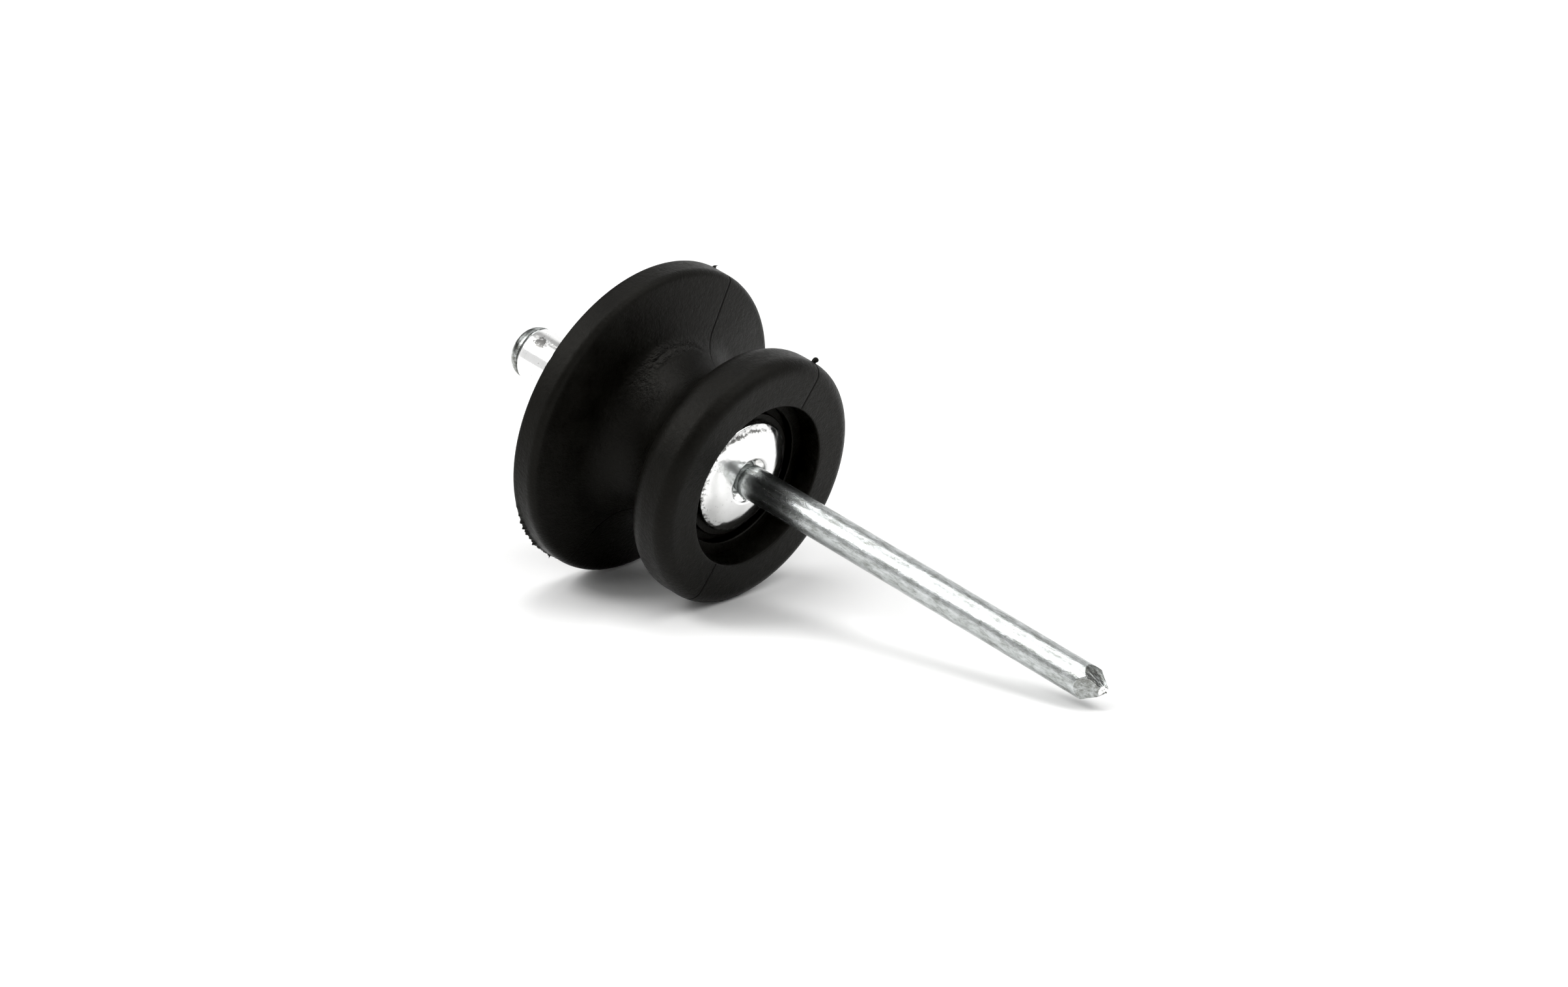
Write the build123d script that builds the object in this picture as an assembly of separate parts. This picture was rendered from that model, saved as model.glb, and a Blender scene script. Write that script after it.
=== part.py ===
from build123d import *
import os
from math import atan2, cos, hypot, radians, sin, tan

# A rivet-on fence insulator: a moulded bobbin that keeps a fence wire off the post, with the
# blind rivet that fixes it there already in its bore, the rivet's mandrel still in place.
# Millimetres. The common axis of all three pieces is Y. The origin is on that axis, in the plane
# of the bobbin's back face, which lies against the post. The post is on the +Y side, the rivet
# tool works from the -Y side, and +Z is up.

# bobbin: depths are measured forward (towards -Y) from the back face
bobbin_length = 15.0
rear_flange_radius = 14.0
rear_rim_front = 2.4          # front end of the rear flange's rim
rear_back_edge_fillet = 0.35
rear_front_edge_fillet = 0.7
groove_depth = 6.8            # depth of the round groove's narrowest ring
groove_section_radius = 3.6   # radius of the groove's own section
waist_radius = 6.45
front_flange_radius = 11.2
front_flange_back_rounding = 2.1
front_flange_front_fillet = 1.3
bore_radius = 3.25

# recess in the bobbin's front, with a narrow moat round the raised seat of the rivet's head
recess_radius = 7.25
recess_edge_fillet = 0.15
ledge_depth = 12.8
moat_outer_radius = 6.3
moat_depth = 12.0
seat_radius = 5.6
seat_depth = 12.65

# rivet body: a 4.8 x 25 mm blind rivet with a domed head
sleeve_radius = 2.4
sleeve_length = 24.4
sleeve_wall_clearance = 0.05  # between the sleeve's bore and the mandrel's stem
head_radius = 5.0
head_rim_height = 0.45
head_height = 1.35
head_dome_fullness = 0.68     # share of the dome's rise reached halfway in from its rim
funnel_radius = 2.05          # mouth of the hole in the head
funnel_depth = 0.9
sleeve_end_chamfer = 0.15

# mandrel
stem_radius = 1.45
stem_tip = 53.0               # forward of the bobbin's back face
point_half_angle = 30.0       # each of the point's four pinched faces to the axis
point_end_half_width = 0.22
point_waste_overlap = 1.0     # how far the cut-off block passes the point at either end
point_waste_width = 8.7
pull_head_radius = 2.4
pull_head_rim = 0.2
pull_head_dome = 1.7
crimp_front = 13.9            # the groove that the rivet's head is crimped into
crimp_length = 0.9
crimp_ramp = 0.2
crimp_radius = 1.22
neck_start = -10.6            # break neck, just inside the sleeve's blind end
neck_length = 0.7
neck_radius = 1.0

# derived
head_seat = seat_depth
sleeve_end = head_seat - sleeve_length
head_top = head_seat + head_height
sleeve_bore_radius = stem_radius + sleeve_wall_clearance
point_length = (stem_radius - point_end_half_width) / tan(radians(point_half_angle))


def turned(outline):
    """A solid of revolution about Y. The outline is a closed face with X as the radius and
    -Y as the depth forward of the back face."""
    return revolve(outline, axis=Axis.Y, revolution_arc=360)


def round_corner(face, radius, depth, size):
    """Rounds the corner of the face at that radius and depth."""
    corner = face.vertices().sort_by_distance(Vector(radius, -depth, 0))[0]
    return fillet(corner, size)


def at(point):
    """A (radius, depth) point as it lies in the sketch plane."""
    return (point[0], -point[1])


def groove_edges():
    """The groove from the rear flange's front corner to the front flange's widest ring: a coned
    face that runs tangent into the groove's round bottom, and then a reversed rounding."""
    corner = (rear_flange_radius, rear_rim_front)
    centre = (waist_radius + groove_section_radius, groove_depth)
    span = hypot(corner[0] - centre[0], corner[1] - centre[1])
    to_corner = atan2(corner[1] - centre[1], corner[0] - centre[0])
    swing = to_corner - atan2((span**2 - groove_section_radius**2) ** 0.5, groove_section_radius)

    def on_groove(angle):
        return at(
            (
                centre[0] + groove_section_radius * cos(angle),
                centre[1] + groove_section_radius * sin(angle),
            )
        )

    rounding = front_flange_back_rounding
    crown_radius = front_flange_radius - rounding
    reach = groove_section_radius + rounding
    crown_depth = groove_depth + (reach**2 - (centre[0] - crown_radius) ** 2) ** 0.5
    leave = atan2(crown_depth - centre[1], crown_radius - centre[0])
    half_turn = radians(180.0)
    swing_up = swing % (2 * half_turn)
    arc_mid = 0.5 * (swing_up + leave)
    crown_mid = 0.5 * (leave - half_turn)

    def on_crown(angle):
        return at((crown_radius + rounding * cos(angle), crown_depth + rounding * sin(angle)))

    return [
        Line(at(corner), on_groove(swing_up)),
        ThreePointArc(on_groove(swing_up), on_groove(arc_mid), on_groove(leave)),
        ThreePointArc(on_crown(leave - half_turn), on_crown(crown_mid), on_crown(0.0)),
        Line(on_crown(0.0), at((front_flange_radius, bobbin_length))),
    ]


def bobbin():
    front = [
        (front_flange_radius, bobbin_length),
        (recess_radius, bobbin_length),
        (recess_radius, ledge_depth),
        (moat_outer_radius, ledge_depth),
        (moat_outer_radius, moat_depth),
        (seat_radius, moat_depth),
        (seat_radius, seat_depth),
        (bore_radius, seat_depth),
        (bore_radius, 0.0),
        (rear_flange_radius, 0.0),
        (rear_flange_radius, rear_rim_front),
    ]
    rounds = [
        (rear_flange_radius, 0.0, rear_back_edge_fillet),
        (rear_flange_radius, rear_rim_front, rear_front_edge_fillet),
        (front_flange_radius, bobbin_length, front_flange_front_fillet),
        (recess_radius, bobbin_length, recess_edge_fillet),
    ]
    straights = [Line(at(a), at(b)) for a, b in zip(front, front[1:])]
    face = make_face(straights + groove_edges())
    for radius, depth, size in rounds:
        face = round_corner(face, radius, depth, size)
    return turned(face)


def domed_edge(rim_radius, rim_depth, top_radius, top_depth):
    """The arc of a shallow dome from its rim to the edge of its flat or hole, bulging outward."""
    mid_radius = 0.5 * (rim_radius + top_radius)
    mid_depth = rim_depth + head_dome_fullness * (top_depth - rim_depth)
    return ThreePointArc(
        (rim_radius, -rim_depth), (mid_radius, -mid_depth), (top_radius, -top_depth)
    )


def rivet_body():
    rim_front = head_seat + head_rim_height
    edges = [
        Line((sleeve_bore_radius, -sleeve_end), (sleeve_radius - sleeve_end_chamfer, -sleeve_end)),
        Line(
            (sleeve_radius - sleeve_end_chamfer, -sleeve_end),
            (sleeve_radius, -sleeve_end - sleeve_end_chamfer),
        ),
        Line((sleeve_radius, -sleeve_end - sleeve_end_chamfer), (sleeve_radius, -head_seat)),
        Line((sleeve_radius, -head_seat), (head_radius, -head_seat)),
        Line((head_radius, -head_seat), (head_radius, -rim_front)),
        domed_edge(head_radius, rim_front, funnel_radius, head_top),
        Line((funnel_radius, -head_top), (sleeve_bore_radius, -head_top + funnel_depth)),
        Line((sleeve_bore_radius, -head_top + funnel_depth), (sleeve_bore_radius, -sleeve_end)),
    ]
    return turned(make_face(edges))


def pinched_point_waste():
    """What the cutting pliers leave off the stem's end: a block round a square pyramid whose
    sides face along X and Z."""
    base = stem_tip - point_length - point_waste_overlap
    end = stem_tip + point_waste_overlap
    slope = tan(radians(point_half_angle))
    half_base = point_end_half_width + (stem_tip - base) * slope
    along_axis = Plane(origin=(0, -base, 0), x_dir=(1, 0, 0), z_dir=(0, -1, 0))
    foot = along_axis * Rectangle(2 * half_base, 2 * half_base)
    pyramid = extrude(foot, stem_tip - base, taper=point_half_angle)
    block = extrude(along_axis * Rectangle(point_waste_width, point_waste_width), end - base)
    return block - pyramid


def mandrel():
    rim_end = sleeve_end - pull_head_rim
    crimp_back = crimp_front - crimp_length
    neck_end = neck_start + neck_length
    points = [
        (pull_head_radius, rim_end),
        (pull_head_radius, sleeve_end),
        (stem_radius, sleeve_end),
        (stem_radius, neck_start),
        (neck_radius, neck_start + 0.5 * neck_length),
        (stem_radius, neck_end),
        (stem_radius, crimp_back),
        (crimp_radius, crimp_back + crimp_ramp),
        (crimp_radius, crimp_front - crimp_ramp),
        (stem_radius, crimp_front),
        (stem_radius, stem_tip),
        (0.0, stem_tip),
        (0.0, rim_end - pull_head_dome),
    ]
    straights = [Line(at(a), at(b)) for a, b in zip(points, points[1:])]
    dome = EllipticalCenterArc(
        at((0.0, rim_end)), pull_head_radius, pull_head_dome, start_angle=0, arc_size=90
    )
    return turned(make_face(straights + [dome])) - pinched_point_waste()


os.makedirs("parts", exist_ok=True)
for name, make in (("bobbin", bobbin), ("rivet_body", rivet_body), ("mandrel", mandrel)):
    solid = make()
    export_step(solid, f"parts/{name}.step")
    print(name, solid.is_valid, round(solid.volume, 1), solid.bounding_box())
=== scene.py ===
import math

import bpy
from mathutils import Matrix, Vector, noise


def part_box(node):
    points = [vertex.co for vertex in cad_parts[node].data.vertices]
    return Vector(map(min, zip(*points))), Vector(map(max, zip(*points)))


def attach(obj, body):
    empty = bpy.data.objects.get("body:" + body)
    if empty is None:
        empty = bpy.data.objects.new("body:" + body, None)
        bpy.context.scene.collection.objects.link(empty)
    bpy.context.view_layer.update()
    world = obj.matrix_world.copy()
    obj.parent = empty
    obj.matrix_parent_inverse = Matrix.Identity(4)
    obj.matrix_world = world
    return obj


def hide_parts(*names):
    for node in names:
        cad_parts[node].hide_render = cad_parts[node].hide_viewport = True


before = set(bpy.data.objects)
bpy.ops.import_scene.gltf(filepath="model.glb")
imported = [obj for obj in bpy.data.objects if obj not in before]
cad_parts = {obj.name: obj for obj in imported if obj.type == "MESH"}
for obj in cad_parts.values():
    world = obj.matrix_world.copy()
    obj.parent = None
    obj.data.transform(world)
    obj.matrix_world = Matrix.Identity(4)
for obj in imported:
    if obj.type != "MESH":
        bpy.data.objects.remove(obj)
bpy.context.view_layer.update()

MM = 0.001

# Sizes of the object in millimetres. The outer ones are read from the CAD, and the rest repeat
# it, but for the small edges and the crevice, which the CAD leaves out. A depth is measured
# from the bobbin's back face towards the rivet tool, so it is -Y in the row frame.
BOBBIN_LOW, BOBBIN_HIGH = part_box("bobbin")
RIVET_LOW, RIVET_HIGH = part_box("rivet_body")
MANDREL_LOW, MANDREL_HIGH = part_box("mandrel")
FLANGE_RADIUS = BOBBIN_HIGH.z / MM
BOBBIN_LENGTH = -BOBBIN_LOW.y / MM
HEAD_RADIUS = RIVET_HIGH.z / MM
HEAD_TOP = -RIVET_LOW.y / MM
SLEEVE_END = -RIVET_HIGH.y / MM
STEM_TIP = -MANDREL_LOW.y / MM
PULL_HEAD_RADIUS = MANDREL_HIGH.z / MM
PULL_HEAD_END = -MANDREL_HIGH.y / MM

RIM_FRONT = 2.4
BACK_EDGE = 0.35
RIM_EDGE = 0.7
GROOVE_DEPTH = 6.8                   # of the groove's narrowest ring
GROOVE_SECTION = 3.6
WAIST_RADIUS = 6.45
FRONT_FLANGE_RADIUS = 11.2
CROWN = 2.1
FRONT_EDGE = 1.3
RECESS_RADIUS = 7.25
RECESS_EDGE = 0.15
LEDGE_DEPTH = 12.8
MOAT_OUTER = 6.3
MOAT_DEPTH = 12.0
SEAT_RADIUS = 5.6
SEAT_DEPTH = 12.65
LEDGE_CHAMFER = 0.08
BORE_RADIUS = 3.25

SLEEVE_RADIUS = 2.4
SLEEVE_BORE = 1.5
SLEEVE_CHAMFER = 0.15
HEAD_RIM = 0.45
HEAD_EDGE = 0.1
HEAD_SHOULDER = 0.08
HEAD_FULLNESS = 0.68
FUNNEL_RADIUS = 2.05
FUNNEL_DEPTH = 0.9
FUNNEL_LIP_WIDTH = 0.08
FUNNEL_LIP_DEPTH = 0.09

STEM_RADIUS = 1.45
POINT_HALF_ANGLE = math.radians(30)
POINT_END = 0.22
POINT_LENGTH = (STEM_RADIUS - POINT_END) / math.tan(POINT_HALF_ANGLE)
POINT_RUN_IN = 0.4
TORN_END = 52.6
PULL_HEAD_RIM = 0.2
CREVICE_WIDTH = 0.12
CREVICE_DEPTH = 0.16
CRIMP_FRONT = 13.9
CRIMP_LENGTH = 0.9
CRIMP_RAMP = 0.2
CRIMP_RADIUS = 1.22
NECK_START = -10.6
NECK_LENGTH = 0.7
NECK_RADIUS = 1.0

# Marks of the mould. Angles are in degrees about the axis, from +X towards +Z.
PARTING = 60.8
SEAM_WIDTH = 0.085
SEAM_GROOVE = 0.045
LOWER_SEAM_BEND = 5.0                # on the rear flange's front face
FOLD_ANGLE = 93
FOLD_REACH = 26
FOLD_DEPTH = 3.80
FOLD_BACK_SWELL = 0.040
FOLD_FRONT_SWELL = 0.055
FOLD_CRACK = 0.090
FOLD_CRACK_WIDTH = 0.075
CRINKLES = ((100, 22, 3.95, 0.45), (130, 20, 5.2, 1.1))    # angle, spread, depth, spread
COARSE_CRINKLES = 0.020
FINE_CRINKLES = 0.012
UNEVENNESS = 0.02
TEETH_ANGLE = 222
TEETH_SPREAD = 17
TEETH_HEIGHT = 0.50
TEETH_DEPTH = 0.42
SHARP_ANGLE = math.radians(38)       # edges sharper than this keep their crease
TURN_STEP = 1.5                      # between a mesh's columns, in degrees
MANDREL_STEP = 2.0
FINE_TURNS = (
    (70.5, 150, 0.75),                           # the fold and the crinkled skin
    (205.5, 258, 0.5),                           # the teeth
    (PARTING - 1.2, PARTING + 1.2, 0.15),        # the upper parting line
    (PARTING + 173.5, PARTING + 181.5, 0.25),    # the lower one, with its bend
)

# Marks of the rivet and its mandrel, and the spurs of the mandrel's torn end.
SCUFF_ANGLE = 104
CLEAN_EDGE_ANGLE = 95
SLEEVE_SPOT_ANGLE = 124
SLEEVE_SPOT_INSET = 1.4
# Where the pull head is left without its painted shade.
UNSHADED_PULL_HEAD_ANGLE = 100
SPUR_ANGLE = 42
LOW_SPUR_ANGLE = 338

# Heights of the dents and waves in the metal.
HEAD_DENTS = 0.012
HEAD_RIM_DENTS = 0.030
FUNNEL_DENTS = 0.010
SLEEVE_DENTS = 0.006
STEM_WAVES = 0.005
PULL_HEAD_DENTS = 0.030
PULL_HEAD_GRAIN = 0.008
PULL_HEAD_INSET = 0.03               # keeps the dented pull head inside the CAD's
POINT_HOLLOW = 0.05                  # of the pinched facets
POINT_GRAIN = 0.016
TORN_RAGGEDNESS = 0.05

# Slivers of flash: name, angle, radius and depth of the foot, and stations for nib().
SLIVERS = (
    ("flash_hook_rear", PARTING + 0.6, 13.9, 0.42, (
        (0.0, 0.0, 0.0, 0.26, 0.10),
        (0.14, 0.0, -0.02, 0.20, 0.07),
        (0.24, -0.04, -0.03, 0.14, 0.05),
        (0.31, -0.14, -0.02, 0.09, 0.04),
        (0.37, -0.28, 0.0, 0.04, 0.025),
        (0.40, -0.36, 0.0, 0.01, 0.01),
    )),
    ("flash_drop_front", PARTING - 1.6, 11.0, 13.55, (
        (0.0, 0.0, 0.0, 0.26, 0.22),
        (0.14, -0.02, 0.02, 0.20, 0.17),
        (0.26, -0.06, 0.04, 0.22, 0.20),
        (0.38, -0.10, 0.06, 0.28, 0.25),
        (0.50, -0.13, 0.06, 0.28, 0.24),
        (0.61, -0.15, 0.05, 0.20, 0.16),
        (0.67, -0.16, 0.05, 0.07, 0.06),
    )),
    ("flash_spike_rear", 236.0, 13.9, 0.50, (
        (0.0, 0.0, 0.0, 0.16, 0.08),
        (0.16, 0.02, 0.0, 0.10, 0.05),
        (0.30, 0.07, 0.01, 0.05, 0.03),
        (0.42, 0.13, 0.02, 0.012, 0.01),
    )),
)

# The camera. Its azimuth is that of the view's direction, from the floor's Y towards X.
CAMERA_AIM = Vector((7.05, -12.24, -3.85)) * MM
CAMERA_DISTANCE = 386.2 * MM
CAMERA_AZIMUTH = math.radians(47.63)
CAMERA_ELEVATION = math.radians(17.93)
CAMERA_LENS = 104.65
CAMERA_SENSOR = 36.0

# The floor, in metres.
FLOOR_TILT = math.radians(13.7)      # to the row's XY plane, about X
FLOOR_REACH = 3.0
FLOOR_FADE_START = 0.28
FLOOR_FADE_END = 0.50

# Soft lights: name, direction in the floor's frame, distance, width, height, watts.
LIGHTS = (
    ("key_back_left", (-0.498, 0.376, 0.781), 1.0, 1.1, 0.8, 3.0),
    ("key_core", (-0.52, 0.37, 0.74), 0.98, 0.34, 0.30, 2.9),
    ("top", (0.08, 0.05, 1.0), 1.0, 0.5, 0.5, 3.2),
    ("fill_front_right", (0.30, -0.72, 0.82), 1.0, 0.8, 0.8, 5.8),
)

# The room that the object reflects: its brightness at the back, at the front, at the camera's
# height and overhead.
ROOM_BACK = 1.0
ROOM_FRONT = 0.34
ROOM_LEVEL = 0.95
ROOM_TOP = 0.36
ROOM_FRONT_COSINES = (-0.2, 0.7)     # of the angles from the front between which it dims
ROOM_TOP_COSINES = (0.60, 0.84)      # and of those from straight up

# Parts of the room: the direction in the floor's frame, the cosines of the angles from it where
# the part begins and is full, and its brightness as a share of the rest's. A dark corner on the
# right, a dark wall at the back and a small window in it.
ROOM_PARTS = (
    ((0.70, -0.50, 0.62), 0.80, 0.94, 0.08),
    ((0.10, 0.93, 0.30), 0.79, 0.87, 0.07),
    ((0.05, 0.87, 0.50), 0.970, 0.980, 20.0),
)
STUDIO_WHITE = 1.15                  # what the camera sees behind the object
BLACK_LEVEL = 0.0014
WHITE_LEVEL = 0.90

# Materials.
FLOOR_WHITE = (0.90, 0.90, 0.895)
PLASTIC_BLACKS = ((0.0027, 0.0026, 0.0022), (0.0054, 0.0052, 0.0044))
PLASTIC_GLOSS = 0.085
CRINKLE_GLOSS = 0.19
ALUMINIUM_TONES = ((0.90, 0.90, 0.89), (0.97, 0.97, 0.965))
ZINC_TONES = ((0.24, 0.25, 0.235), (0.44, 0.46, 0.455), (0.60, 0.62, 0.625))
# Painted shade along the parting line's groove.
SEAM_SHADE_BLACK = (0.0006, 0.0006, 0.0006)
STAIN_GREY = (0.075, 0.073, 0.068)
SPECK_GREY = (0.19, 0.195, 0.18)
# Dull plating of the pinched facets, and painted shade on the pull head.
TARNISH_AND_SHADE_GREY = (0.13, 0.132, 0.118)
# Bare steel of the torn end, made brighter as a painted highlight.
BARE_STEEL_AND_HIGHLIGHT = (0.92, 0.92, 0.91)


# ---------------------------------------------------------------- sections

def arc(centre, radius, start, end, steps):
    """Points of an arc in (radius, depth), angles in degrees from the radius axis."""
    points = []
    for i in range(steps + 1):
        angle = math.radians(start + (end - start) * i / steps)
        points.append((centre[0] + radius * math.cos(angle), centre[1] + radius * math.sin(angle)))
    return points


def run(start, end, steps):
    """Points of a straight stretch, without its first one."""
    return [
        (start[0] + (end[0] - start[0]) * i / steps, start[1] + (end[1] - start[1]) * i / steps)
        for i in range(1, steps + 1)
    ]


def path(*stretches):
    """Joins arcs, runs and single points, leaving out points that repeat."""
    points = []
    for stretch in stretches:
        for point in stretch if isinstance(stretch, list) else [stretch]:
            if not points or math.dist(points[-1], point) > 1e-4:
                points.append(point)
    return points


def bobbin_section():
    """The bobbin's section as a closed loop, from the bore's back edge outward and forward."""
    groove_centre = (WAIST_RADIUS + GROOVE_SECTION, GROOVE_DEPTH)
    corner = (FLANGE_RADIUS, RIM_FRONT)
    span = math.dist(corner, groove_centre)
    to_corner = math.atan2(corner[1] - groove_centre[1], corner[0] - groove_centre[0])
    face_end = math.degrees(to_corner - math.acos(GROOVE_SECTION / span)) + 360.0
    crown_radius = FRONT_FLANGE_RADIUS - CROWN
    rise = ((GROOVE_SECTION + CROWN) ** 2 - (groove_centre[0] - crown_radius) ** 2) ** 0.5
    crown_centre = (crown_radius, GROOVE_DEPTH + rise)
    leave = math.degrees(math.atan2(rise, crown_radius - groove_centre[0]))
    groove = arc(groove_centre, GROOVE_SECTION, face_end, leave, 100)
    face_tilt = math.atan2(groove[0][1] - corner[1], corner[0] - groove[0][0])
    edge_depth = RIM_FRONT - RIM_EDGE * math.tan(math.pi / 4 - face_tilt / 2)
    edge_centre = (FLANGE_RADIUS - RIM_EDGE, edge_depth)
    rim_edge = arc(edge_centre, RIM_EDGE, 0, 90 - math.degrees(face_tilt), 8)
    front_centre = (FRONT_FLANGE_RADIUS - FRONT_EDGE, BOBBIN_LENGTH - FRONT_EDGE)
    mouth_centre = (RECESS_RADIUS + RECESS_EDGE, BOBBIN_LENGTH - RECESS_EDGE)
    return path(
        (BORE_RADIUS, 0.0),
        run((BORE_RADIUS, 0.0), (FLANGE_RADIUS - BACK_EDGE, 0.0), 8),
        arc((FLANGE_RADIUS - BACK_EDGE, BACK_EDGE), BACK_EDGE, -90, 0, 6),
        run((FLANGE_RADIUS, BACK_EDGE), (FLANGE_RADIUS, edge_depth), 9),
        rim_edge,
        run(rim_edge[-1], groove[0], 22),
        groove,
        arc(crown_centre, CROWN, leave - 180, 0, 14),
        run((FRONT_FLANGE_RADIUS, crown_centre[1]), (FRONT_FLANGE_RADIUS, front_centre[1]), 3),
        arc(front_centre, FRONT_EDGE, 0, 90, 12),
        run((front_centre[0], BOBBIN_LENGTH), (mouth_centre[0], BOBBIN_LENGTH), 6),
        arc(mouth_centre, RECESS_EDGE, 90, 180, 5),
        run((RECESS_RADIUS, mouth_centre[1]), (RECESS_RADIUS, LEDGE_DEPTH), 5),
        run((RECESS_RADIUS, LEDGE_DEPTH), (MOAT_OUTER + LEDGE_CHAMFER, LEDGE_DEPTH), 3),
        run((MOAT_OUTER + LEDGE_CHAMFER, LEDGE_DEPTH), (MOAT_OUTER, LEDGE_DEPTH - LEDGE_CHAMFER), 2),
        run((MOAT_OUTER, LEDGE_DEPTH - LEDGE_CHAMFER), (MOAT_OUTER, MOAT_DEPTH), 2),
        run((MOAT_OUTER, MOAT_DEPTH), (SEAT_RADIUS, MOAT_DEPTH), 2),
        run((SEAT_RADIUS, MOAT_DEPTH), (SEAT_RADIUS, SEAT_DEPTH - LEDGE_CHAMFER), 2),
        run((SEAT_RADIUS, SEAT_DEPTH - LEDGE_CHAMFER), (SEAT_RADIUS - LEDGE_CHAMFER, SEAT_DEPTH), 2),
        run((SEAT_RADIUS - LEDGE_CHAMFER, SEAT_DEPTH), (BORE_RADIUS, SEAT_DEPTH), 4),
        run((BORE_RADIUS, SEAT_DEPTH), (BORE_RADIUS, 0.0), 6)[:-1],
    )


def three_point_arc(start, middle, end, steps):
    """The arc through three (radius, depth) points."""
    (x1, y1), (x2, y2), (x3, y3) = start, middle, end
    d = 2 * (x1 * (y2 - y3) + x2 * (y3 - y1) + x3 * (y1 - y2))
    s1, s2, s3 = x1 * x1 + y1 * y1, x2 * x2 + y2 * y2, x3 * x3 + y3 * y3
    centre = (
        (s1 * (y2 - y3) + s2 * (y3 - y1) + s3 * (y1 - y2)) / d,
        (s1 * (x3 - x2) + s2 * (x1 - x3) + s3 * (x2 - x1)) / d,
    )
    first = math.degrees(math.atan2(y1 - centre[1], x1 - centre[0]))
    last = math.degrees(math.atan2(y3 - centre[1], x3 - centre[0]))
    return arc(centre, math.dist(centre, start), first, last, steps)


def rivet_section():
    """The rivet body's section, from the sleeve's blind end forward along its outside."""
    rim_depth = SEAT_DEPTH + HEAD_RIM
    middle = (
        0.5 * (HEAD_RADIUS + FUNNEL_RADIUS),
        rim_depth + HEAD_FULLNESS * (HEAD_TOP - rim_depth),
    )
    dome = three_point_arc((HEAD_RADIUS, rim_depth), middle, (FUNNEL_RADIUS, HEAD_TOP), 36)
    lip = (FUNNEL_RADIUS - FUNNEL_LIP_WIDTH, HEAD_TOP - FUNNEL_LIP_DEPTH)
    return path(
        (SLEEVE_BORE, SLEEVE_END),
        run((SLEEVE_BORE, SLEEVE_END), (SLEEVE_RADIUS - SLEEVE_CHAMFER, SLEEVE_END), 4),
        arc((SLEEVE_RADIUS - SLEEVE_CHAMFER, SLEEVE_END + SLEEVE_CHAMFER), SLEEVE_CHAMFER, -90, 0, 6),
        run((SLEEVE_RADIUS, SLEEVE_END + SLEEVE_CHAMFER), (SLEEVE_RADIUS, SEAT_DEPTH), 90),
        run((SLEEVE_RADIUS, SEAT_DEPTH), (HEAD_RADIUS - HEAD_EDGE, SEAT_DEPTH), 10),
        arc((HEAD_RADIUS - HEAD_EDGE, SEAT_DEPTH + HEAD_EDGE), HEAD_EDGE, -90, 0, 4),
        run((HEAD_RADIUS, SEAT_DEPTH + HEAD_EDGE), (HEAD_RADIUS, rim_depth - HEAD_SHOULDER), 4),
        run((HEAD_RADIUS, rim_depth - HEAD_SHOULDER), dome[1], 3),
        dome[2:-1],
        run(dome[-2], lip, 3),
        run(lip, (SLEEVE_BORE, HEAD_TOP - FUNNEL_DEPTH), 8),
        run((SLEEVE_BORE, HEAD_TOP - FUNNEL_DEPTH), (SLEEVE_BORE, SLEEVE_END), 60)[:-1],
    )


def mandrel_section():
    """The mandrel's section, from the middle of the pull head's dome to the stem's point, where
    it stays a cylinder: pinch() gives it the point."""
    rim_end = SLEEVE_END - PULL_HEAD_RIM
    dome_height = rim_end - PULL_HEAD_END
    dome = [
        (
            PULL_HEAD_RADIUS * math.sin(math.radians(t)),
            rim_end - dome_height * math.cos(math.radians(t)),
        )
        for t in range(0, 91, 3)
    ]
    crevice = (PULL_HEAD_RADIUS - CREVICE_DEPTH, SLEEVE_END)
    crimp_back = CRIMP_FRONT - CRIMP_LENGTH
    neck_end = NECK_START + NECK_LENGTH
    point_start = STEM_TIP - POINT_LENGTH - POINT_RUN_IN
    return path(
        dome,
        run((PULL_HEAD_RADIUS, rim_end), (PULL_HEAD_RADIUS, SLEEVE_END - CREVICE_WIDTH), 2),
        run((PULL_HEAD_RADIUS, SLEEVE_END - CREVICE_WIDTH), crevice, 3),
        run(crevice, (STEM_RADIUS, SLEEVE_END), 4),
        run((STEM_RADIUS, SLEEVE_END), (STEM_RADIUS, NECK_START), 8),
        run((STEM_RADIUS, NECK_START), (NECK_RADIUS, 0.5 * (NECK_START + neck_end)), 5),
        run((NECK_RADIUS, 0.5 * (NECK_START + neck_end)), (STEM_RADIUS, neck_end), 5),
        run((STEM_RADIUS, neck_end), (STEM_RADIUS, crimp_back), 60),
        run((STEM_RADIUS, crimp_back), (CRIMP_RADIUS, crimp_back + CRIMP_RAMP), 4),
        run((CRIMP_RADIUS, crimp_back + CRIMP_RAMP), (CRIMP_RADIUS, CRIMP_FRONT - CRIMP_RAMP), 5),
        run((CRIMP_RADIUS, CRIMP_FRONT - CRIMP_RAMP), (STEM_RADIUS, CRIMP_FRONT), 4),
        run((STEM_RADIUS, CRIMP_FRONT), (STEM_RADIUS, point_start), 180),
        run((STEM_RADIUS, point_start), (STEM_RADIUS, STEM_TIP), 64),
        run((STEM_RADIUS, STEM_TIP), (0.0, STEM_TIP), 10),
    )


# ---------------------------------------------------------------- turned meshes

def add_object(name, data):
    """Puts an object with that data in the scene."""
    thing = bpy.data.objects.new(name, data)
    bpy.context.scene.collection.objects.link(thing)
    return thing


def outward(section, closed):
    """The outward normal at each point of a section, in (radius, depth)."""
    normals = []
    count = len(section)
    for i in range(count):
        before = section[i - 1] if closed or i else section[i]
        after = section[(i + 1) % count] if closed or i < count - 1 else section[i]
        run_r, run_d = after[0] - before[0], after[1] - before[1]
        size = math.hypot(run_r, run_d)
        normals.append((run_d / size, -run_r / size))
    return normals


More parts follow.
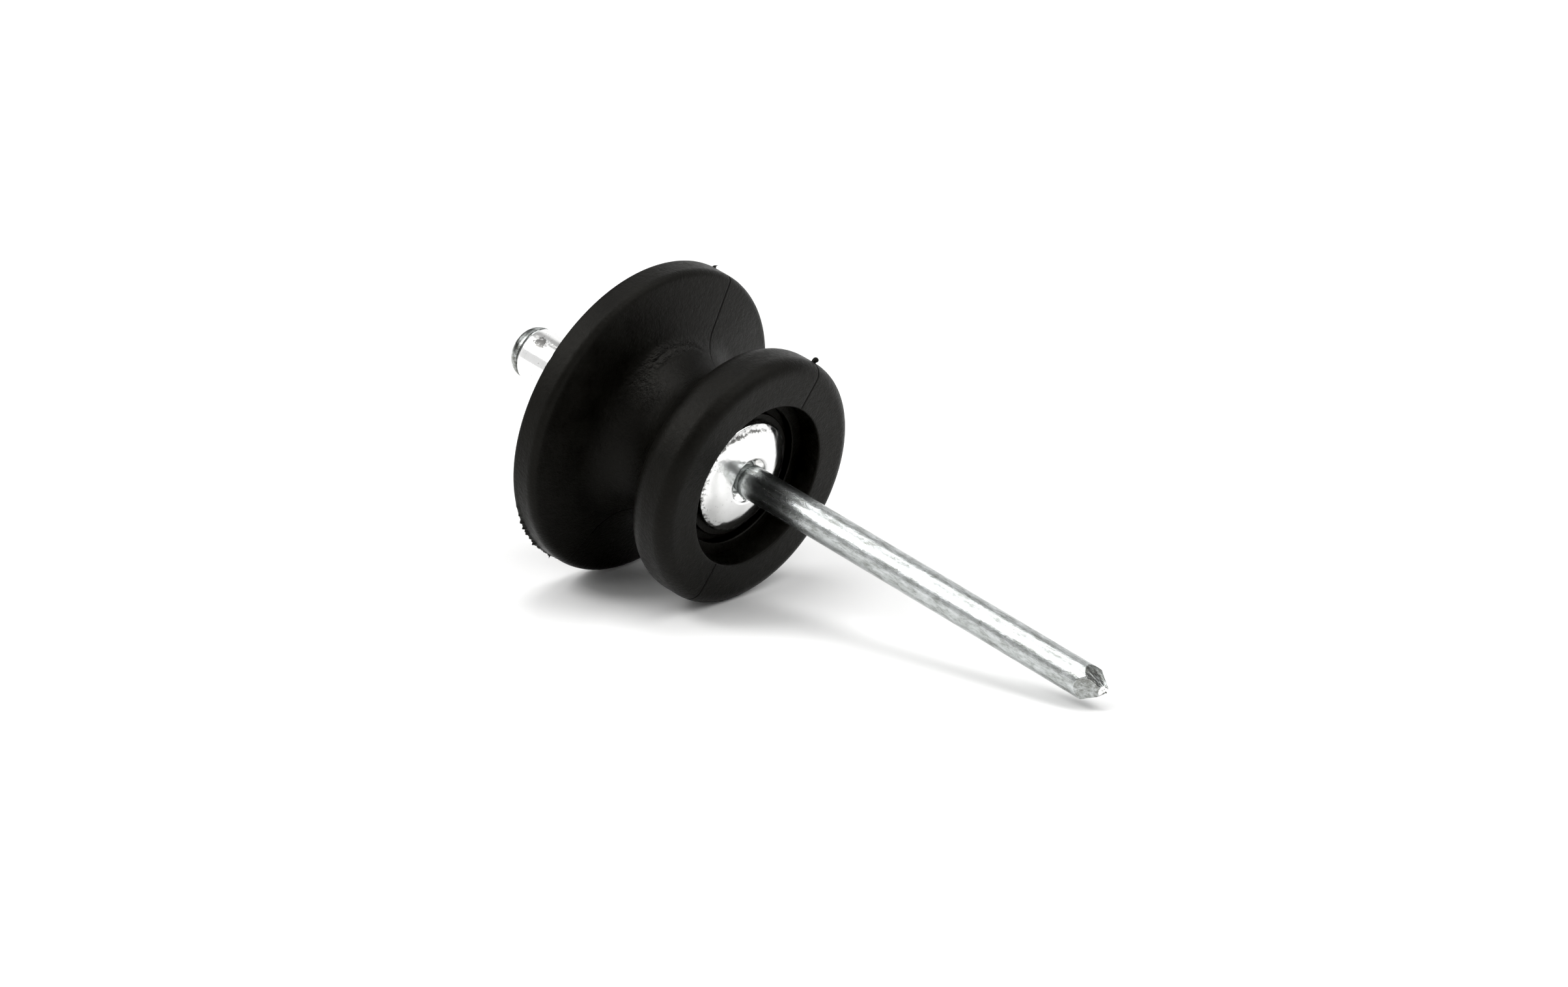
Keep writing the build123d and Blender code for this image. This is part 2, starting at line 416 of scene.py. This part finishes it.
def turned(name, section, angles, closed, shape=None, marks=None):
    """A mesh of revolution about Y. shape takes (angle in degrees, radius, depth, normal) and
    gives the new (radius, depth); marks is a dict of attribute name to a function of
    (angle, radius, depth)."""
    normals = outward(section, closed)
    vertices, faces, places = [], [], []
    poles = set() if closed else {i for i in (0, len(section) - 1) if section[i][0] < 1e-6}
    index = []
    for column, degrees in enumerate(angles):
        angle = math.radians(degrees)
        row = []
        for i, (radius, depth) in enumerate(section):
            if i in poles and column:
                row.append(index[0][i])
                continue
            if shape:
                radius, depth = shape(degrees, radius, depth, normals[i])
            row.append(len(vertices))
            vertices.append(
                (radius * math.cos(angle) * MM, -depth * MM, radius * math.sin(angle) * MM)
            )
            places.append((degrees, radius, depth))
        index.append(row)
    last = len(section) if closed else len(section) - 1
    for a in range(len(angles)):
        one, two = index[a], index[(a + 1) % len(angles)]
        for i in range(last):
            j = (i + 1) % len(section)
            ring = [one[i], two[i], two[j], one[j]]
            faces.append([v for k, v in enumerate(ring) if v != ring[k - 1]])
    mesh = bpy.data.meshes.new(name)
    mesh.from_pydata(vertices, [], faces)
    for mark, value in (marks or {}).items():
        layer = mesh.attributes.new(mark, "FLOAT", "POINT")
        layer.data.foreach_set("value", [value(*place) for place in places])
    mesh.validate()
    mesh.shade_smooth()
    mesh.set_sharp_from_angle(angle=SHARP_ANGLE)
    return add_object(name, mesh)


def angles_with(step, *finer):
    """Angles round the circle, with finer stretches given as (start, end, step)."""
    angles = {round(i * step, 4) for i in range(round(360 / step))}
    for start, end, small in finer:
        angles |= {round((start + i * small) % 360, 4) for i in range(round((end - start) / small))}
    kept = []
    for angle in sorted(angles):
        if not kept or angle - kept[-1] > 0.03:
            kept.append(angle)
    return kept


def bell(x, middle, width):
    """A bell curve, 1 at the middle."""
    return math.exp(-(((x - middle) / width) ** 2))


def climb(x, start, length):
    """0 before start, rising evenly to 1 over that length."""
    return min(1.0, max(0.0, (x - start) / length))


def turn_between(angle, other):
    """The smaller angle from other to angle, in degrees, signed."""
    return (angle - other + 180) % 360 - 180


def noise_at(angle, radius, depth, scale, seed=0.0):
    """Perlin noise on the surface, scale in cycles per millimetre."""
    turn = math.radians(angle)
    return noise.noise(
        Vector((radius * math.cos(turn), depth, radius * math.sin(turn))) * scale
        + Vector((seed, seed * 0.7, -seed))
    )


# ---------------------------------------------------------------- bobbin

def on_outside(radius, depth):
    """True on the faces that the two mould halves form."""
    return radius > RECESS_RADIUS + 0.1 or 1.0 < depth < 12.0 and radius > WAIST_RADIUS - 0.2


def seam(angle, radius, depth):
    """How near a place is to the parting line, 0 to 1. The line is faint in the groove's middle,
    and below, where it bends, on the rear flange's outer part."""
    if not on_outside(radius, depth) or depth < 0.02:
        return 0.0
    upper = turn_between(angle, PARTING)
    lower = turn_between(angle, PARTING + 180)
    fade = 1.0 - 0.75 * bell(depth, 6.6, 2.2)
    if abs(lower) < 90 and depth < GROOVE_DEPTH:
        lower += LOWER_SEAM_BEND * climb(radius, 7.0, 3.0)
        fade *= 1.0 - 0.85 * climb(radius, 9.8, 1.2)
    across = math.radians(min(abs(upper), abs(lower))) * radius
    return bell(across, 0.0, SEAM_WIDTH) * fade


def flow_fold(angle, radius, depth):
    """The fold where two flows of plastic met, on the groove's rear side: a fine crack between
    two soft swells. Gives the lift in millimetres."""
    off = turn_between(angle, FOLD_ANGLE)
    if abs(off) > FOLD_REACH or radius > 11:
        return 0.0
    window = 1 - (off / FOLD_REACH) ** 4
    line = FOLD_DEPTH + 0.0007 * off * off + 0.03 * math.sin(off * 0.23)
    swell = FOLD_BACK_SWELL * bell(depth, line - 0.26, 0.20)
    swell += FOLD_FRONT_SWELL * bell(depth, line + 0.24, 0.18)
    return window * (swell - FOLD_CRACK * bell(depth, line, FOLD_CRACK_WIDTH))


def crinkle(angle, radius, depth):
    """Where the waist's skin is crinkled, 0 to 1."""
    if not 2.8 < depth < 8.5 or radius > 10.5:
        return 0.0
    return min(1.0, sum(
        bell(turn_between(angle, middle), 0, spread) * bell(depth, place, reach)
        for middle, spread, place, reach in CRINKLES
    ))


def shaped_bobbin(angle, radius, depth, normal):
    """The parting line's groove, the flow fold, the crinkled skin, slight unevenness of the
    outside, and the serrated edge of the rear flange's rim."""
    lift = -SEAM_GROOVE * seam(angle, radius, depth)
    lift += flow_fold(angle, radius, depth)
    amount = crinkle(angle, radius, depth)
    if amount > 0.02:
        lift += COARSE_CRINKLES * amount * noise_at(angle, radius, depth, 1.9, 3.0)
        lift += FINE_CRINKLES * amount * noise_at(angle, radius, depth, 4.2, 9.0)
    if radius > WAIST_RADIUS - 0.1 and depth > 0.01:
        lift += UNEVENNESS * noise_at(angle, radius, depth, 0.16, 5.0)
    if radius > FLANGE_RADIUS - 0.3 and depth < 0.9:
        reach = bell(turn_between(angle, TEETH_ANGLE), 0, TEETH_SPREAD)
        reach += 0.25 * bell(turn_between(angle, TEETH_ANGLE + 30), 0, 9)
        teeth = max(0.0, 0.35 + noise.noise(Vector((angle * 0.9, 4.0, 0.0))))
        teeth += 0.5 * max(0.0, noise.noise(Vector((angle * 2.3, 9.0, 0.0))))
        lift += TEETH_HEIGHT * reach * teeth * bell(depth, TEETH_DEPTH, 0.13)
    return radius + normal[0] * lift, depth + normal[1] * lift


def nib(name, angle, radius, depth, stations, sides=14):
    """A sliver of flash: a bent tapering horn that stands on the surface at that place. Each
    station is (height, lean round the axis, lean in depth, half width, half thickness)."""
    turn = math.radians(angle)
    out = Vector((math.cos(turn), 0, math.sin(turn)))
    around = Vector((-math.sin(turn), 0, math.cos(turn)))
    forward = Vector((0, -1, 0))
    foot = out * radius + forward * depth
    vertices, faces = [], []
    for height, lean, slant, width, thickness in stations:
        middle = foot + out * height + around * lean + forward * slant
        for k in range(sides):
            t = 2 * math.pi * k / sides
            uneven = 1 + 0.16 * noise.noise(Vector((k * 0.9, height * 4, angle)))
            spot = middle + forward * (width * uneven * math.cos(t))
            spot += around * (thickness * uneven * math.sin(t))
            vertices.append(spot * MM)
    rows = len(stations)
    for r in range(rows - 1):
        for k in range(sides):
            n = (k + 1) % sides
            faces.append([r * sides + k, r * sides + n, (r + 1) * sides + n, (r + 1) * sides + k])
    faces.append(list(range(sides))[::-1])
    faces.append([(rows - 1) * sides + k for k in range(sides)])
    mesh = bpy.data.meshes.new(name)
    mesh.from_pydata(vertices, [], faces)
    mesh.validate()
    mesh.shade_smooth()
    return add_object(name, mesh)


# ---------------------------------------------------------------- rivet body and mandrel

def shaped_rivet(angle, radius, depth, normal):
    """Small dents of a tumbled rivet on its head and sleeve, and an uneven funnel."""
    lift = 0.0
    if depth > SEAT_DEPTH + 0.05 and radius > FUNNEL_RADIUS:
        lift += HEAD_DENTS * noise_at(angle, radius, depth, 0.9, 2.0)
        rim = bell(radius, HEAD_RADIUS - 0.25, 0.45)
        lift += HEAD_RIM_DENTS * rim * noise_at(angle, radius, depth, 1.9, 7.0)
    if depth > HEAD_TOP - FUNNEL_DEPTH and SLEEVE_BORE < radius <= FUNNEL_RADIUS + 0.25:
        lift += FUNNEL_DENTS * noise_at(angle, radius, depth, 1.6, 11.0)
    if depth < 0 and radius > SLEEVE_RADIUS - 0.01:
        lift += SLEEVE_DENTS * noise_at(angle, radius, depth, 0.7, 4.0)
    return radius + normal[0] * lift, depth + normal[1] * lift


def stain(angle, radius, depth):
    """How dark the rivet body is scuffed, 0 to 1.5: a band across the head's top, its edge, and
    a spot on the sleeve, near its end."""
    if depth > SEAT_DEPTH + 0.05 and radius > FUNNEL_RADIUS:
        off = turn_between(angle, SCUFF_ANGLE)
        band = bell(off, 0, 46) * bell(radius, 4.40 + 0.5 * climb(off, 2, 38), 0.20)
        clean = bell(turn_between(angle, CLEAN_EDGE_ANGLE), 0, 45)
        edge = bell(radius, HEAD_RADIUS, 0.40) * (0.85 - 0.6 * clean)
        return min(1.0, band + edge)
    if radius > SLEEVE_RADIUS - 0.1 and depth < 0:
        across = bell(turn_between(angle, SLEEVE_SPOT_ANGLE), 0, 16)
        return 1.5 * across * bell(depth, SLEEVE_END + SLEEVE_SPOT_INSET, 0.65)
    return 0.0


def torn(angle, radius, depth):
    """1 on the stem's torn end: bare metal, with a painted highlight in its colour."""
    return 1.0 if depth > TORN_END - 0.12 and radius < 0.40 else 0.0


def tarnish_and_shade(angle, radius, depth):
    """Where the mandrel is painted darker, 0 to 1: the pinched facets, whose plating is dull and
    dark, and the pull head apart from its upper side, where the darkening is painted shade."""
    # The pull head: painted shade, darker apart from its upper side.
    if depth < SLEEVE_END:
        return 0.15 + 0.85 * climb(abs(turn_between(angle, UNSHADED_PULL_HEAD_ANGLE)), 27, 30)
    if depth > STEM_TIP - POINT_LENGTH - 0.1 and abs(radius - STEM_RADIUS) > 0.02:
        return 0.75
    return 0.0


def pinch(angle, radius, depth, normal):
    """The stem's point: four pinched facets facing along X and Z, a blunt torn end with two
    spurs, and slight waviness elsewhere."""
    point_start = STEM_TIP - POINT_LENGTH - POINT_RUN_IN
    turn = math.radians(angle)
    if depth > point_start:
        share = radius / STEM_RADIUS
        low_spur = turn_between(angle, LOW_SPUR_ANGLE)
        spur = bell(turn_between(angle, SPUR_ANGLE), 0, 17) + 0.85 * bell(low_spur, 0, 13)
        ragged = TORN_RAGGEDNESS * noise_at(angle, 1.2, 0.0, 2.4, 8.0) * share
        end = TORN_END + (STEM_TIP - TORN_END) * min(1.0, spur) * share**3 + ragged
        along = (depth - point_start) / (STEM_TIP - point_start)
        depth = point_start + along * (end - point_start)
        half = POINT_END + (STEM_TIP - depth) * math.tan(POINT_HALF_ANGLE)
        half -= POINT_HOLLOW * math.sin(math.pi * along)
        half += POINT_GRAIN * noise_at(angle, radius, depth, 3.0, 6.0)
        limit = half / max(abs(math.cos(turn)), abs(math.sin(turn)))
        fin = 1 + 0.30 * bell(turn_between(angle, 45), 0, 11) * along**3
        fin += 0.45 * bell(low_spur, 0, 9) * along**6
        return min(STEM_RADIUS, limit * fin) * share, depth
    lift = 0.0
    if radius > STEM_RADIUS - 0.01:
        lift += STEM_WAVES * noise_at(angle, radius, depth * 0.25, 1.3, 1.0)
    if depth < SLEEVE_END - 0.01:
        lift += PULL_HEAD_DENTS * noise_at(angle, radius, depth, 0.55, 12.0)
        lift += PULL_HEAD_GRAIN * noise_at(angle, radius, depth, 2.2, 13.0)
        lift -= PULL_HEAD_INSET
    return max(0.0, radius + normal[0] * lift), depth + normal[1] * lift


# ---------------------------------------------------------------- shader nodes

def new_material(name):
    """A material with a Principled shader, its nodes and its links."""
    material = bpy.data.materials.new(name)
    material.use_nodes = True
    return material, material.node_tree.nodes, material.node_tree.links


def noise_node(nodes, links, scale, detail, stretch=(1, 1, 1), roughness=0.5):
    """Noise in object space, scale in cycles per metre, stretched along the axes."""
    place = nodes.new("ShaderNodeTexCoord")
    mapping = nodes.new("ShaderNodeMapping")
    mapping.inputs["Scale"].default_value = stretch
    texture = nodes.new("ShaderNodeTexNoise")
    texture.inputs["Scale"].default_value = scale
    texture.inputs["Detail"].default_value = detail
    texture.inputs["Roughness"].default_value = roughness
    links.new(place.outputs["Object"], mapping.inputs["Vector"])
    links.new(mapping.outputs["Vector"], texture.inputs["Vector"])
    return texture.outputs["Fac"]


def ramp_node(nodes, links, value, *stops):
    """A colour ramp of (position, grey or colour) stops driven by value."""
    ramp = nodes.new("ShaderNodeValToRGB")
    for i, (position, colour) in enumerate(stops):
        element = ramp.color_ramp.elements[i] if i < 2 else ramp.color_ramp.elements.new(position)
        element.position = position
        element.color = (*colour, 1) if isinstance(colour, tuple) else (colour, colour, colour, 1)
    links.new(value, ramp.inputs["Fac"])
    return ramp.outputs["Color"]


def range_node(nodes, links, value, low, high, low_value, high_value, kind="LINEAR"):
    """Takes value from the range low to high to the range low_value to high_value."""
    spread = nodes.new("ShaderNodeMapRange")
    spread.interpolation_type = kind
    spread.inputs["From Min"].default_value = low
    spread.inputs["From Max"].default_value = high
    spread.inputs["To Min"].default_value = low_value
    spread.inputs["To Max"].default_value = high_value
    links.new(value, spread.inputs["Value"])
    return spread.outputs["Result"]


def math_node(nodes, links, operation, one, two):
    """A math node on two numbers or sockets."""
    node = nodes.new("ShaderNodeMath")
    node.operation = operation
    for i, value in enumerate((one, two)):
        if isinstance(value, (int, float)):
            node.inputs[i].default_value = value
        else:
            links.new(value, node.inputs[i])
    return node.outputs[0]


def mix_colour(nodes, links, factor, one, two):
    """Goes from colour one to colour two by factor. Each is a colour or a socket."""
    mix = nodes.new("ShaderNodeMix")
    mix.data_type = "RGBA"
    links.new(factor, mix.inputs["Factor"])
    for socket, value in ((mix.inputs[6], one), (mix.inputs[7], two)):
        if isinstance(value, tuple):
            socket.default_value = (*value, 1)
        else:
            links.new(value, socket)
    return mix.outputs[2]


def mark_node(nodes, name):
    """The value of a mark that the mesh carries."""
    mark = nodes.new("ShaderNodeAttribute")
    mark.attribute_name = name
    return mark.outputs["Fac"]


def bump_chain(nodes, links, surface, *layers):
    """Adds bumps of (height, strength, distance in metres) on top of each other."""
    before = None
    for height, strength, distance in layers:
        bump = nodes.new("ShaderNodeBump")
        bump.inputs["Strength"].default_value = strength
        bump.inputs["Distance"].default_value = distance
        links.new(height, bump.inputs["Height"])
        if before:
            links.new(before, bump.inputs["Normal"])
        before = bump.outputs["Normal"]
    links.new(before, surface.inputs["Normal"])


# ---------------------------------------------------------------- camera, floor and light

def floor_axes():
    """The floor's own X, Y and up directions in the row frame."""
    tilt = Matrix.Rotation(-FLOOR_TILT, 3, "X")
    return tilt @ Vector((1, 0, 0)), tilt @ Vector((0, 1, 0)), tilt @ Vector((0, 0, 1))


def from_floor(direction):
    """A direction given in the floor's own frame, as a unit vector in the row frame."""
    side, along, up = floor_axes()
    return (side * direction[0] + along * direction[1] + up * direction[2]).normalized()


def make_camera():
    """The photograph's camera: its viewing angle, distance and lens."""
    side, along, up = floor_axes()
    level = math.sin(CAMERA_AZIMUTH) * side + math.cos(CAMERA_AZIMUTH) * along
    forward = math.cos(CAMERA_ELEVATION) * level - math.sin(CAMERA_ELEVATION) * up
    right = forward.cross(up).normalized()
    data = bpy.data.cameras.new("camera")
    data.lens = CAMERA_LENS
    data.sensor_width = CAMERA_SENSOR
    data.clip_start = 0.01
    data.clip_end = 20.0
    camera = add_object("camera", data)
    spin = Matrix((right, right.cross(forward), -forward)).transposed()
    camera.matrix_world = Matrix.Translation(CAMERA_AIM - forward * CAMERA_DISTANCE) @ spin.to_4x4()
    bpy.context.scene.camera = camera


def make_floor():
    """A pale floor that fades into the white studio before its far part gets dim."""
    side, along, up = floor_axes()
    height = min(v.co.dot(up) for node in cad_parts.values() for v in node.data.vertices)
    corners = ((-1, -1), (1, -1), (1, 1), (-1, 1))
    mesh = bpy.data.meshes.new("floor")
    mesh.from_pydata(
        [up * height + side * (a * FLOOR_REACH) + along * (b * FLOOR_REACH) for a, b in corners],
        [],
        [(0, 1, 2, 3)],
    )
    floor = add_object("floor", mesh)
    material, nodes, links = new_material("pale_floor")
    surface = nodes["Principled BSDF"]
    surface.inputs["Base Color"].default_value = (*FLOOR_WHITE, 1)
    surface.inputs["Roughness"].default_value = 0.7
    surface.inputs["Specular IOR Level"].default_value = 0.15
    clear = nodes.new("ShaderNodeBsdfTransparent")
    geometry = nodes.new("ShaderNodeNewGeometry")
    rays = nodes.new("ShaderNodeLightPath")
    place = nodes.new("ShaderNodeTexCoord")
    away = nodes.new("ShaderNodeVectorMath")
    away.operation = "LENGTH"
    links.new(place.outputs["Object"], away.inputs[0])
    faded = math_node(
        nodes, links, "MULTIPLY",
        range_node(nodes, links, away.outputs["Value"], FLOOR_FADE_START, FLOOR_FADE_END, 0.0, 1.0),
        rays.outputs["Is Camera Ray"],
    )
    mix = nodes.new("ShaderNodeMixShader")
    hidden = math_node(nodes, links, "MAXIMUM", faded, geometry.outputs["Backfacing"])
    links.new(hidden, mix.inputs[0])
    links.new(surface.outputs[0], mix.inputs[1])
    links.new(clear.outputs[0], mix.inputs[2])
    links.new(mix.outputs[0], nodes["Material Output"].inputs["Surface"])
    mesh.materials.append(material)


def softbox(name, direction, distance, width, height, watts):
    """A soft light that shines on the object from that direction in the floor's own frame."""
    toward = from_floor(direction)
    up = floor_axes()[2]
    data = bpy.data.lights.new(name, "AREA")
    data.shape = "RECTANGLE"
    data.size = width
    data.size_y = height
    data.energy = watts
    light = add_object(name, data)
    across = up.cross(toward).normalized()
    spin = Matrix((across, toward.cross(across), toward)).transposed()
    light.matrix_world = Matrix.Translation(toward * distance) @ spin.to_4x4()


def make_world():
    """A white studio to the camera. What the object reflects is a grey room: bright at the back
    and at the sides, darker overhead and where the photographer stands, with ROOM_PARTS."""
    world = bpy.data.worlds.new("studio")
    world.use_nodes = True
    nodes, links = world.node_tree.nodes, world.node_tree.links
    side, along, up = floor_axes()
    seen = nodes.new("ShaderNodeBackground")
    seen.inputs["Color"].default_value = (1, 1, 1, 1)
    seen.inputs["Strength"].default_value = STUDIO_WHITE
    room = nodes["Background"]
    room.inputs["Color"].default_value = (1, 1, 1, 1)
    place = nodes.new("ShaderNodeTexCoord")
    front = (-math.sin(CAMERA_AZIMUTH) * side - math.cos(CAMERA_AZIMUTH) * along).normalized()

    def share(direction, low, high, low_value, high_value):
        """Goes from one value to the other as the cosine of the angle from that direction goes
        from low to high."""
        dot = nodes.new("ShaderNodeVectorMath")
        dot.operation = "DOT_PRODUCT"
        dot.inputs[1].default_value = direction
        links.new(place.outputs["Generated"], dot.inputs[0])
        cosine = dot.outputs["Value"]
        return range_node(nodes, links, cosine, low, high, low_value, high_value, "SMOOTHSTEP")

    strength = math_node(
        nodes, links, "MULTIPLY",
        share(front, *ROOM_FRONT_COSINES, ROOM_BACK, ROOM_FRONT),
        share(up, *ROOM_TOP_COSINES, ROOM_LEVEL, ROOM_TOP),
    )
    for aim, low, high, level in ROOM_PARTS:
        lit = share(from_floor(aim), low, high, 1.0, level)
        strength = math_node(nodes, links, "MULTIPLY", strength, lit)
    links.new(strength, room.inputs["Strength"])
    rays = nodes.new("ShaderNodeLightPath")
    mix = nodes.new("ShaderNodeMixShader")
    links.new(rays.outputs["Is Camera Ray"], mix.inputs[0])
    links.new(room.outputs[0], mix.inputs[1])
    links.new(seen.outputs[0], mix.inputs[2])
    links.new(mix.outputs[0], nodes["World Output"].inputs["Surface"])
    bpy.context.scene.world = world
    bpy.context.scene.view_settings.view_transform = "Standard"
    bpy.context.scene.view_settings.look = "None"
    grade_view()


def grade_view():
    """The photograph's deep blacks and blown-out paper: a little more contrast at both ends."""
    view = bpy.context.scene.view_settings
    view.use_curve_mapping = True
    view.curve_mapping.black_level = (BLACK_LEVEL, BLACK_LEVEL, BLACK_LEVEL)
    view.curve_mapping.white_level = (WHITE_LEVEL, WHITE_LEVEL, WHITE_LEVEL)
    view.curve_mapping.update()


# ---------------------------------------------------------------- materials

def black_plastic(name, marked):
    """Black moulded plastic with a fine spark-eroded grain, crinkled where the marks say, and
    with painted shade along the parting line.
    """
    material, nodes, links = new_material(name)
    surface = nodes["Principled BSDF"]
    surface.inputs["Specular IOR Level"].default_value = PLASTIC_GLOSS
    surface.inputs["Specular Tint"].default_value = (1.0, 0.97, 0.90, 1)
    grain = noise_node(nodes, links, 5200, 3, roughness=0.6)
    leather = noise_node(nodes, links, 2500, 5, roughness=0.72)
    cloud = noise_node(nodes, links, 420, 4, roughness=0.6)
    colour = ramp_node(nodes, links, cloud, (0.3, PLASTIC_BLACKS[0]), (0.7, PLASTIC_BLACKS[1]))
    rough = math_node(
        nodes, links, "ADD",
        range_node(nodes, links, cloud, 0.25, 0.75, 0.32, 0.44),
        range_node(nodes, links, leather, 0.3, 0.7, -0.07, 0.08),
    )
    layers = [(grain, 0.55, 0.00004), (leather, 0.60, 0.00009), (cloud, 0.30, 0.00006)]
    if marked:
        # Painted shade: the parting line's groove is darkened in the colour.
        colour = mix_colour(nodes, links, mark_node(nodes, "seam"), colour, SEAM_SHADE_BLACK)
        folds = mark_node(nodes, "crinkle")
        streak = noise_node(nodes, links, 2600, 4, (0.55, 1.6, 1.0), 0.65)
        height = math_node(nodes, links, "MULTIPLY", streak, folds)
        layers.append((height, 0.8, 0.00020))
        worn = math_node(nodes, links, "MULTIPLY", folds, -0.16)
        glint = range_node(nodes, links, folds, 0.0, 1.0, PLASTIC_GLOSS, CRINKLE_GLOSS)
        links.new(glint, surface.inputs["Specular IOR Level"])
        rough = math_node(nodes, links, "ADD", rough, worn)
    links.new(colour, surface.inputs["Base Color"])
    links.new(rough, surface.inputs["Roughness"])
    bump_chain(nodes, links, surface, *layers)
    return material


def bright_aluminium():
    """Tumbled aluminium: bright, with small dark pits, most of them where the marks say."""
    material, nodes, links = new_material("bright_aluminium")
    surface = nodes["Principled BSDF"]
    surface.inputs["Metallic"].default_value = 1.0
    patch = noise_node(nodes, links, 620, 5, roughness=0.62)
    pits = noise_node(nodes, links, 3400, 4, roughness=0.7)
    stained = mark_node(nodes, "stain")
    bright = ramp_node(nodes, links, patch, (0.30, ALUMINIUM_TONES[0]), (0.60, ALUMINIUM_TONES[1]))
    more = math_node(nodes, links, "MULTIPLY", stained, 0.30)
    dark = ramp_node(
        nodes, links, math_node(nodes, links, "ADD", pits, more), (0.62, 0.0), (0.78, 0.90)
    )
    links.new(mix_colour(nodes, links, dark, bright, STAIN_GREY), surface.inputs["Base Color"])
    rough = math_node(
        nodes, links, "ADD",
        range_node(nodes, links, patch, 0.3, 0.7, 0.16, 0.08),
        math_node(nodes, links, "MULTIPLY", stained, 0.14),
    )
    links.new(rough, surface.inputs["Roughness"])
    bump_chain(nodes, links, surface, (pits, 0.30, 0.00002), (patch, 0.20, 0.00005))
    return material


def zinc_plate():
    """Zinc-plated drawn wire: bluish grey, streaked along its length, mottled and speckled. Its
    torn end is bare bright steel with a painted highlight, and the pull head carries painted
    shade apart from its upper side."""
    material, nodes, links = new_material("zinc_plate")
    surface = nodes["Principled BSDF"]
    surface.inputs["Metallic"].default_value = 1.0
    mottle = noise_node(nodes, links, 2100, 6, (1.0, 0.32, 1.0), 0.74)
    drawn = noise_node(nodes, links, 2600, 3, (1.0, 0.05, 1.0), 0.6)
    speck = noise_node(nodes, links, 4200, 3, (1.0, 0.5, 1.0), 0.7)
    base = ramp_node(nodes, links, mottle, *zip((0.34, 0.50, 0.66), ZINC_TONES))
    dots = ramp_node(nodes, links, speck, (0.58, 0.0), (0.70, 0.65))
    plated = mix_colour(nodes, links, dots, base, SPECK_GREY)
    blotch = ramp_node(nodes, links, speck, (0.38, 0.25), (0.60, 1.0))
    # Painted shade on the pull head, and the dull plating of the pinched facets.
    dull_and_shaded = math_node(nodes, links, "MULTIPLY", blotch, mark_node(nodes, "tarnish_and_shade"))
    plated = mix_colour(nodes, links, dull_and_shaded, plated, TARNISH_AND_SHADE_GREY)
    # The torn end: bare steel with a painted highlight.
    colour = mix_colour(nodes, links, mark_node(nodes, "torn"), plated, BARE_STEEL_AND_HIGHLIGHT)
    links.new(colour, surface.inputs["Base Color"])
    rough = math_node(
        nodes, links, "ADD",
        range_node(nodes, links, mottle, 0.3, 0.7, 0.28, 0.18),
        range_node(nodes, links, drawn, 0.3, 0.7, -0.03, 0.04),
    )
    links.new(rough, surface.inputs["Roughness"])
    bump_chain(
        nodes, links, surface,
        (drawn, 0.30, 0.00003), (mottle, 0.40, 0.00006), (speck, 0.35, 0.00003),
    )
    return material


# ---------------------------------------------------------------- build

make_camera()
make_floor()
make_world()
for light in LIGHTS:
    softbox(*light)

plastic = black_plastic("black_plastic", True)
flash = black_plastic("black_plastic_flash", False)
aluminium = bright_aluminium()
zinc = zinc_plate()

bobbin = turned(
    "bobbin_moulding",
    bobbin_section(),
    angles_with(TURN_STEP, *FINE_TURNS),
    closed=True,
    shape=shaped_bobbin,
    marks={"seam": seam, "crinkle": crinkle},
)
bobbin.data.materials.append(plastic)
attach(bobbin, "bobbin")
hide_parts("bobbin")

for name, angle, radius, depth, stations in SLIVERS:
    sliver = nib(name, angle, radius, depth, stations)
    sliver.data.materials.append(flash)
    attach(sliver, "bobbin")

rivet = turned(
    "rivet_shell",
    rivet_section(),
    angles_with(TURN_STEP),
    closed=True,
    shape=shaped_rivet,
    marks={"stain": stain},
)
rivet.data.materials.append(aluminium)
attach(rivet, "rivet")
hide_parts("rivet_body")

mandrel = turned(
    "mandrel_pin",
    mandrel_section(),
    angles_with(MANDREL_STEP),
    closed=False,
    shape=pinch,
    marks={"torn": torn, "tarnish_and_shade": tarnish_and_shade},
)
mandrel.data.materials.append(zinc)
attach(mandrel, "mandrel")
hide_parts("mandrel")
